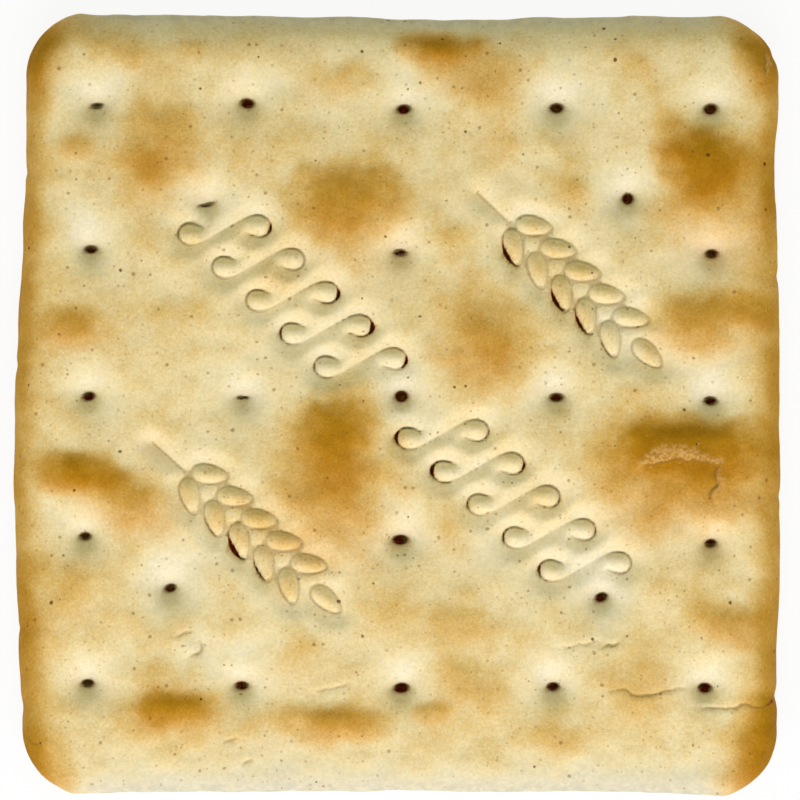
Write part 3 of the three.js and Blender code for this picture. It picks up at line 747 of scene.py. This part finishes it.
layering = {
    "brokenStart": 3.2,  # distance from -Y and +Y at which the broken look begins
    "layersPerMillimetre": 1.9,
    "wander": (0.5, 6.0, 61),
    "layerLength": 5.0,
    "layerDepth": (0.16, 0.03),  # more on the broken sides, and everywhere
    "flakeDepth": (0.09, 0.02),
    "bake": 0.90,
    "rightBrowner": 0.12,
    "dapples": (0.16, 3.0, 67),
    "brokenPaleness": 0.65,
    "layerPaleness": 0.22,
    # grey flour and painted shade on the broken side wall
    "flourAndShade": 0.35,
}


def sideWall(ringP, ringQ, rimMarks):
    # rows of points from below the rim to above the underside. The inset follows a part of an oval
    # above and below the waist, and layers of dough stand out and back in on the broken sides. The
    # marks take over from the rim's within the wall's upper part
    rows = meshDetail["sideRows"]
    t = np.arange(1, rows + 1)[:, None] / (rows + 1)
    _, _, rim, rimInset = rimAt(ringP, ringQ)
    height = rim * (1 - t ** 0.9)
    above = np.clip((height - body["waistHeight"]) / (rim - body["waistHeight"]), 0, 1)
    below = np.clip(1 - height / body["waistHeight"], 0, 1)
    inset = rimInset * above ** 2 + body["underInset"] * (1 - np.sqrt(1 - below ** 2.6))

    cornerStart = body["width"] / 2 - body["cornerRadius"]
    brokenStart = body["depth"] / 2 - layering["brokenStart"]
    broken = smoothStep(abs(ringQ) - brokenStart, 0, 2.6)[None, :]
    corner = smoothStep(abs(ringP) - cornerStart, 0, 2.5)[None, :]
    broken = broken * (1 - corner)
    stride = np.hypot(np.diff(ringP, append=ringP[0]), np.diff(ringQ, append=ringQ[0]))
    along = np.cumsum(stride)[None, :]
    wander = ripples(along, 0 * along, *layering["wander"])
    wander = height * layering["layersPerMillimetre"] + wander
    layers = latticeNoise(along / layering["layerLength"], wander, 1.0, 63)
    flakes = roughNoise(along, wander * 1.6, 1.3, 65)
    depth = 0
    for form, (more, least) in ((layers, layering["layerDepth"]), (flakes, layering["flakeDepth"])):
        depth = depth + (more * broken + least) * (1 + form)
    inset = inset + depth * np.sin(np.pi * t) ** 0.5
    x, y = toOutline(ringP[None, :] + 0 * t, ringQ[None, :] + 0 * t, inset)

    bake = layering["bake"] + layering["rightBrowner"] * smoothStep(ringP, 20, 30)
    bake = bake + ripples(along, height, *layering["dapples"])
    bake = bake - broken * (layering["brokenPaleness"] + layering["layerPaleness"] * layers)
    own = smoothStep(t, 0, 0.45 - 0.25 * broken)
    bake = rimMarks["bake"] * (1 - own) + bake * own
    # grey flour and painted shade take over from the rim's in the wall
    flourAndShade = rimMarks["flourAndShade"] * (1 - own) + layering["flourAndShade"] * broken * own
    return x, y, height, plainMarks(bake, flourAndShade)


def makeCrackerMesh():
    # the face's grid, the side's rows and the underside's grid, joined into one closed surface
    cells, underCells = meshDetail["faceCells"], meshDetail["underCells"]
    p, q = gridPlaces(cells)
    x, y = toOutline(p, q, rimAt(p, q)[3])
    gatheredX, gatheredY = gatherToLines(x, y, stampedLines + crackLines + holeLines)
    inland = smoothStep(edgeDistance(p, q), *meshDetail["gatherStart"])
    x, y = x + (gatheredX - x) * inland, y + (gatheredY - y) * inland
    z, marks = faceAt(x, y, p, q)
    print("face worked out,", x.size, "points")

    ring, underRing = borderOrder(cells), borderOrder(underCells)
    rimMarks = {name: value[ring] for name, value in marks.items()}
    sideX, sideY, sideZ, sideMarks = sideWall(p[ring], q[ring], rimMarks)
    underP, underQ = gridPlaces(underCells)
    underX, underY = toOutline(underP, underQ, body["underInset"])
    underZ, underMarks = undersideAt(underX, underY, underP, underQ)
    print("side wall and underside worked out")

    def joined(face, side, under):
        return np.concatenate((face, side.ravel(), under))

    columns = joined(x, sideX, underX), joined(y, sideY, underY), joined(z, sideZ, underZ)
    points = np.stack(columns, 1)
    values = {name: joined(marks[name], sideMarks[name], underMarks[name]) for name in marks}

    # each row of the side joins the one above, and below the last row two of its steps meet one
    # of the underside's
    rows, count = meshDetail["sideRows"], len(ring)
    sideIndex = x.size + np.arange(rows * count).reshape(rows, count)
    upper, following = np.vstack((ring, sideIndex[:-1])), np.roll(np.arange(count), -1)
    wall = np.stack((upper, sideIndex, sideIndex[:, following], upper[:, following]), 2)
    underStart = x.size + sideX.size
    first, middle = sideIndex[-1, 0::2], sideIndex[-1, 1::2]
    second = np.roll(first, -1)
    under, nextUnder = underStart + underRing, underStart + np.roll(underRing, -1)
    stitches = np.vstack((
        np.stack((first, under, middle), 1),
        np.stack((under, nextUnder, middle), 1),
        np.stack((middle, nextUnder, second), 1),
    ))
    bottom = underStart + gridQuads(underCells, True)
    quads = np.vstack((gridQuads(cells, False), wall.reshape(-1, 4), bottom))
    return points, quads.tolist() + stitches.tolist(), values


def fitToFrame(points):
    # stretches the points evenly, so that their box is the CAD node's or a hair inside it
    hair = 0.01
    low, high = (np.array(corner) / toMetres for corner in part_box("cracker"))
    low, high = low + (hair, hair, 0), high - (hair, hair, hair)
    print("stretched from", np.ptp(points, axis=0).round(2), "mm to", (high - low).round(2), "mm")
    share = (points - points.min(0)) / (points.max(0) - points.min(0))
    return low + share * (high - low)


def newPiece(name, points, faces, values, material):
    mesh = bpy.data.meshes.new(name)
    mesh.from_pydata(points * toMetres, [], faces)
    for key, value in values.items():
        attribute = mesh.attributes.new(key, "FLOAT", "POINT")
        attribute.data.foreach_set("value", value.astype(np.float32))
    mesh.shade_smooth()
    mesh.materials.append(material)
    piece = bpy.data.objects.new(name, mesh)
    bpy.context.scene.collection.objects.link(piece)
    return piece


# ---- materials

def screenColour(red, green, blue):
    # a colour as a screen shows it, from 0 to 255, as the light values that Blender mixes
    shown = np.array((red, green, blue)) / 255
    light = np.where(shown > 0.04045, ((shown + 0.055) / 1.055) ** 2.4, shown / 12.92)
    return (*light.tolist(), 1)


class NodeTree:
    # short calls that add nodes to a material or a group; an input is a value or a node's output
    def __init__(self, tree):
        self.tree = tree

    def add(self, kind, inputs=(), **settings):
        node = self.tree.nodes.new("ShaderNode" + kind)
        for name, value in settings.items():
            setattr(node, name, value)
        for name, value in dict(inputs).items():
            socket = node.inputs[name]
            if isinstance(value, bpy.types.NodeSocket):
                self.tree.links.new(value, socket)
            else:
                socket.default_value = value
        return node

    def math(self, operation, *values):
        return self.add("Math", dict(enumerate(values)), operation=operation).outputs[0]

    def spread(self, value, low, high, toLow=0.0, toHigh=1.0):
        # carries value from the range low to high over to another range, held at its ends
        inputs = {"Value": value, "From Min": low, "From Max": high}
        inputs.update({"To Min": toLow, "To Max": toHigh})
        return self.add("MapRange", inputs, interpolation_type="SMOOTHSTEP").outputs["Result"]

    def noise(self, place, size, detail):
        inputs = {"Vector": place, "Scale": 1 / size, "Detail": detail, "Roughness": 0.55}
        return self.add("TexNoise", inputs).outputs["Fac"]

    def patches(self, place, size, detail, *ranges):
        # noise, spread from one range over another
        return self.spread(self.noise(place, size, detail), *ranges)

    def blend(self, share, first, second, kind="MIX"):
        inputs = {0: share, 6: first, 7: second}
        node = self.add("Mix", inputs, data_type="RGBA", blend_type=kind)
        return node.outputs[2]

    def ramp(self, value, stops):
        # the stops' places are in the value's own range, and are carried over to 0 to 1
        low, high = stops[0][0], stops[-1][0]
        share = self.math("MULTIPLY_ADD", value, 1 / (high - low), -low / (high - low))
        node = self.add("ValToRGB", {"Fac": share})
        while len(node.color_ramp.elements) < len(stops):
            node.color_ramp.elements.new(0.5)
        for element, (place, colour) in zip(node.color_ramp.elements, stops):
            element.position, element.color = (place - low) / (high - low), screenColour(*colour)
        return node.outputs["Color"]

    def mark(self, name):
        return self.add("Attribute", attribute_name=name).outputs["Fac"]


def makeSpeckGroup():
    # a mask of ragged specks: the points of a warped 3D cell pattern, of which a share is kept
    tree = bpy.data.node_groups.new("specks", "ShaderNodeTree")
    tree.interface.new_socket("Place", in_out="INPUT", socket_type="NodeSocketVector")
    for name in ("Scale", "Size", "Share", "Strength"):
        tree.interface.new_socket(name, in_out="INPUT", socket_type="NodeSocketFloat")
    tree.interface.new_socket("Mask", in_out="OUTPUT", socket_type="NodeSocketFloat")
    nodes = NodeTree(tree)
    given = tree.nodes.new("NodeGroupInput").outputs
    inputs = {"Vector": given["Place"], "Scale": 3.0, "Detail": 1.0}
    bends = nodes.add("TexNoise", inputs).outputs["Color"]
    inputs = {0: bends, 1: [crust["speckWarp"]] * 3, 2: given["Place"]}
    warped = nodes.add("VectorMath", inputs, operation="MULTIPLY_ADD").outputs[0]
    cells = nodes.add("TexVoronoi", {"Vector": warped, "Scale": given["Scale"]})
    chance = nodes.add("SeparateColor", {"Color": cells.outputs["Color"]})
    kept = nodes.math("LESS_THAN", chance.outputs[0], given["Share"])
    radius = nodes.math("MULTIPLY", given["Size"], nodes.math("ADD", chance.outputs[1], 0.35))
    soft = nodes.math("DIVIDE", cells.outputs["Distance"], radius)
    shape = nodes.math("MULTIPLY", nodes.spread(soft, 1.0, 0.45), given["Strength"])
    result = tree.nodes.new("NodeGroupOutput")
    tree.links.new(nodes.math("MULTIPLY", shape, kept), result.inputs["Mask"])
    return tree


crust = {
    "bakedColours": (  # from the palest dough to the darkest blister
        (0.0, (238, 227, 190)), (0.25, (240, 221, 167)), (0.5, (225, 190, 115)),
        (0.75, (202, 155, 66)), (1.0, (181, 130, 24)), (1.25, (160, 110, 0)),
    ),
    # grey of flour and painted shade on the rims, the broken wall and round the holes
    "flourAndShade": (178, 174, 152),
    # a warm tint of painted light on the blisters' near slopes
    "paintedLitTint": (255, 241, 231),
    "crumb": (214, 168, 98),
    # painted shade in the cuts and cracks
    "cutShadeColour": (126, 100, 40),
    # painted shade inside the holes and tears, darker and less dark
    "holeShadeDark": (138, 50, 10),
    "holeShadeLight": (146, 122, 62),
    "speckKinds": (  # cells to a millimetre, size in cells, share of cells, strength and colour
        (2.4, 0.34, 0.18, 0.35, (150, 94, 40)), (1.4, 0.25, 0.15, 0.55, (132, 76, 28)),
        (1.0, 0.19, 0.07, 0.85, (80, 46, 16)), (2.4, 0.28, 0.03, 0.22, (240, 222, 172)),
    ),
    "speckWarp": 0.14,
    "spots": ((1.6, 4.0, 0.26), (0.20, 2.0, 0.32)),  # size, detail and strength: mottled, grained
    # size and detail of some noise, its range, and the range that this is spread over
    "pores": (0.32, 3.0, 0.30, 0.70, 0.93, 1.05),
    "flourAndShadePatches": (0.9, 3.0, 0.35, 0.65, 0.65, 1.0),
    "crumbPatches": (0.3, 2.0, 0.38, 0.60, 0.20, 1.0),
    "holePatches": (0.7, 1.0, 0.48, 0.66),
    "cutShade": (0.20, 0.03, 0.0, 0.60),  # from clear at the first distance to dark at the second
    "holeEdge": (-0.03, 0.10),
    "sand": ((0.22, 2.0), (0.7, 3.0)),
    "sandHeight": 0.05,
    "sandStrength": 0.35,
    "roughness": 0.8,
    "gloss": 0.08,
}


def makeCrust():
    material = bpy.data.materials.new("bakedCrust")
    material.use_nodes = True
    material.node_tree.nodes.clear()
    nodes = NodeTree(material.node_tree)
    specks = makeSpeckGroup()

    # Object coordinates in millimetres
    metres = nodes.add("TexCoord").outputs["Object"]
    inputs = {0: metres, "Scale": 1 / toMetres}
    place = nodes.add("VectorMath", inputs, operation="SCALE").outputs[0]

    # how baked each place is: the mesh's own mark, mottled and grained
    bake = nodes.mark("bake")
    for size, detail, strength in crust["spots"]:
        spots = nodes.noise(place, size, detail)
        spots = nodes.math("MULTIPLY_ADD", spots, strength, -strength / 2)
        bake = nodes.math("ADD", bake, spots)
    colour = nodes.ramp(bake, crust["bakedColours"])
    colour = nodes.blend(1.0, colour, nodes.patches(place, *crust["pores"]), "MULTIPLY")
    # a warm tint of painted light on the blisters' near slopes
    paintedLitTint = screenColour(*crust["paintedLitTint"])
    colour = nodes.blend(nodes.mark("paintedLitTint"), colour, paintedLitTint, "MULTIPLY")

    # grey flour and painted shade, bare crumb where the skin is torn, a painted shade line in the
    # cuts, specks, and painted shade inside the holes and tears
    for name, amounts in (("flourAndShade", crust["flourAndShadePatches"]), ("crumb", crust["crumbPatches"])):
        share = nodes.math("MULTIPLY", nodes.patches(place, *amounts), nodes.mark(name))
        colour = nodes.blend(share, colour, screenColour(*crust[name]))
    # a painted shade line in the cuts and cracks
    cut = nodes.spread(nodes.mark("groove"), *crust["cutShade"])
    cut = nodes.math("MULTIPLY", cut, nodes.mark("cut"))
    colour = nodes.blend(cut, colour, screenColour(*crust["cutShadeColour"]))
    for *amounts, speckColour in crust["speckKinds"]:
        group = material.node_tree.nodes.new("ShaderNodeGroup")
        group.node_tree = specks
        material.node_tree.links.new(place, group.inputs["Place"])
        for name, value in zip(("Scale", "Size", "Share", "Strength"), amounts):
            group.inputs[name].default_value = value
        colour = nodes.blend(group.outputs["Mask"], colour, screenColour(*speckColour))
    # painted shade inside the holes and tears
    dark, light = screenColour(*crust["holeShadeDark"]), screenColour(*crust["holeShadeLight"])
    holeShadeColour = nodes.blend(nodes.patches(place, *crust["holePatches"]), dark, light)
    inside = nodes.spread(nodes.mark("opening"), *crust["holeEdge"])
    colour = nodes.blend(inside, colour, holeShadeColour)

    # sandy relief too fine for the mesh
    sand = nodes.math("ADD", *(nodes.noise(place, *grain) for grain in crust["sand"]))
    height, strength = crust["sandHeight"] * toMetres, crust["sandStrength"]
    bump = nodes.add("Bump", {"Height": sand, "Strength": strength, "Distance": height})
    inputs = {"Base Color": colour, "Normal": bump.outputs["Normal"]}
    shader = nodes.add("BsdfPrincipled", inputs)
    shader.inputs["Roughness"].default_value = crust["roughness"]
    shader.inputs["Specular IOR Level"].default_value = crust["gloss"]
    nodes.add("OutputMaterial", {"Surface": shader.outputs["BSDF"]})
    return material


# ---- the cracker

points, faces, values = makeCrackerMesh()
cracker = newPiece("baked_cracker", fitToFrame(points), faces, values, makeCrust())
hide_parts("cracker")
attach(cracker, "root")
print("cracker made,", len(faces), "faces")


# ---- floor, light and camera

studio = {
    "floorSize": 6000,
    "floorDrop": 0.02,
    "floorColour": 0.12,
    "floorGlow": 0.88,
    "ambient": 0.515,
    "ambientColour": (0.95, 1.0, 0.83),  # greenish, and the bar pinkish: both together are white
    "keyColour": (0.893, 0.848, 1.0),
    "keyPower": 2.37,
    "keyDistance": 500,
    "keyElevation": 40,
    "keyLength": 600,
    "keyWidth": 60,
    "viewCentre": (0.26, 0.39),
    "viewHeight": 2.5,  # the height at which the frame is viewWidth across
    "viewWidth": 69.7,
    "lens": 500,
    "sensor": 36,
}


def makeFloor():
    # a pale plain floor that glows a little, so that it stays nearly white in the cracker's shadow
    material = bpy.data.materials.new("paleFloor")
    material.use_nodes = True
    shader = material.node_tree.nodes["Principled BSDF"]
    settings = {
        "Base Color": (*[studio["floorColour"]] * 3, 1),
        "Roughness": 1,
        "Specular IOR Level": 0,
        "Emission Color": (1, 1, 1, 1),
        "Emission Strength": studio["floorGlow"],
    }
    for name, value in settings.items():
        shader.inputs[name].default_value = value
    half, level = studio["floorSize"] / 2, -studio["floorDrop"]
    corners = [(x * half, y * half, level) for x, y in ((-1, -1), (1, -1), (1, 1), (-1, 1))]
    floor = newPiece("floor", np.array(corners), [(0, 1, 2, 3)], {}, material)


def makeLight():
    # soft light from all round, and a long bar of light over the near side
    world = bpy.data.worlds.new("studio")
    bpy.context.scene.world = world
    world.use_nodes = True
    background = world.node_tree.nodes["Background"]
    background.inputs["Color"].default_value = (*studio["ambientColour"], 1)
    background.inputs["Strength"].default_value = studio["ambient"]
    bar = bpy.data.lights.new("bar", "AREA")
    bar.shape = "RECTANGLE"
    bar.size, bar.size_y = studio["keyLength"] * toMetres, studio["keyWidth"] * toMetres
    bar.energy, bar.color = studio["keyPower"], studio["keyColour"]
    light = bpy.data.objects.new("bar", bar)
    lift = math.radians(studio["keyElevation"])
    distance = studio["keyDistance"] * toMetres
    light.location = (0, -distance * math.cos(lift), distance * math.sin(lift))
    light.rotation_euler = (math.pi / 2 - lift, 0, 0)
    light.visible_camera = False
    bpy.context.scene.collection.objects.link(light)


def makeCamera():
    # straight above, far off with a long lens, so that it sees almost no side wall
    lens = bpy.data.cameras.new("camera")
    lens.lens, lens.sensor_width = studio["lens"], studio["sensor"]
    lens.clip_start, lens.clip_end = 0.01, 10
    camera = bpy.data.objects.new("camera", lens)
    height = studio["viewWidth"] * studio["lens"] / studio["sensor"] + studio["viewHeight"]
    centreX, centreY = studio["viewCentre"]
    camera.location = (centreX * toMetres, centreY * toMetres, height * toMetres)
    bpy.context.scene.collection.objects.link(camera)
    bpy.context.scene.camera = camera
    bpy.context.scene.view_settings.view_transform = "Standard"


makeFloor()
makeLight()
makeCamera()
print("floor, light and camera made")
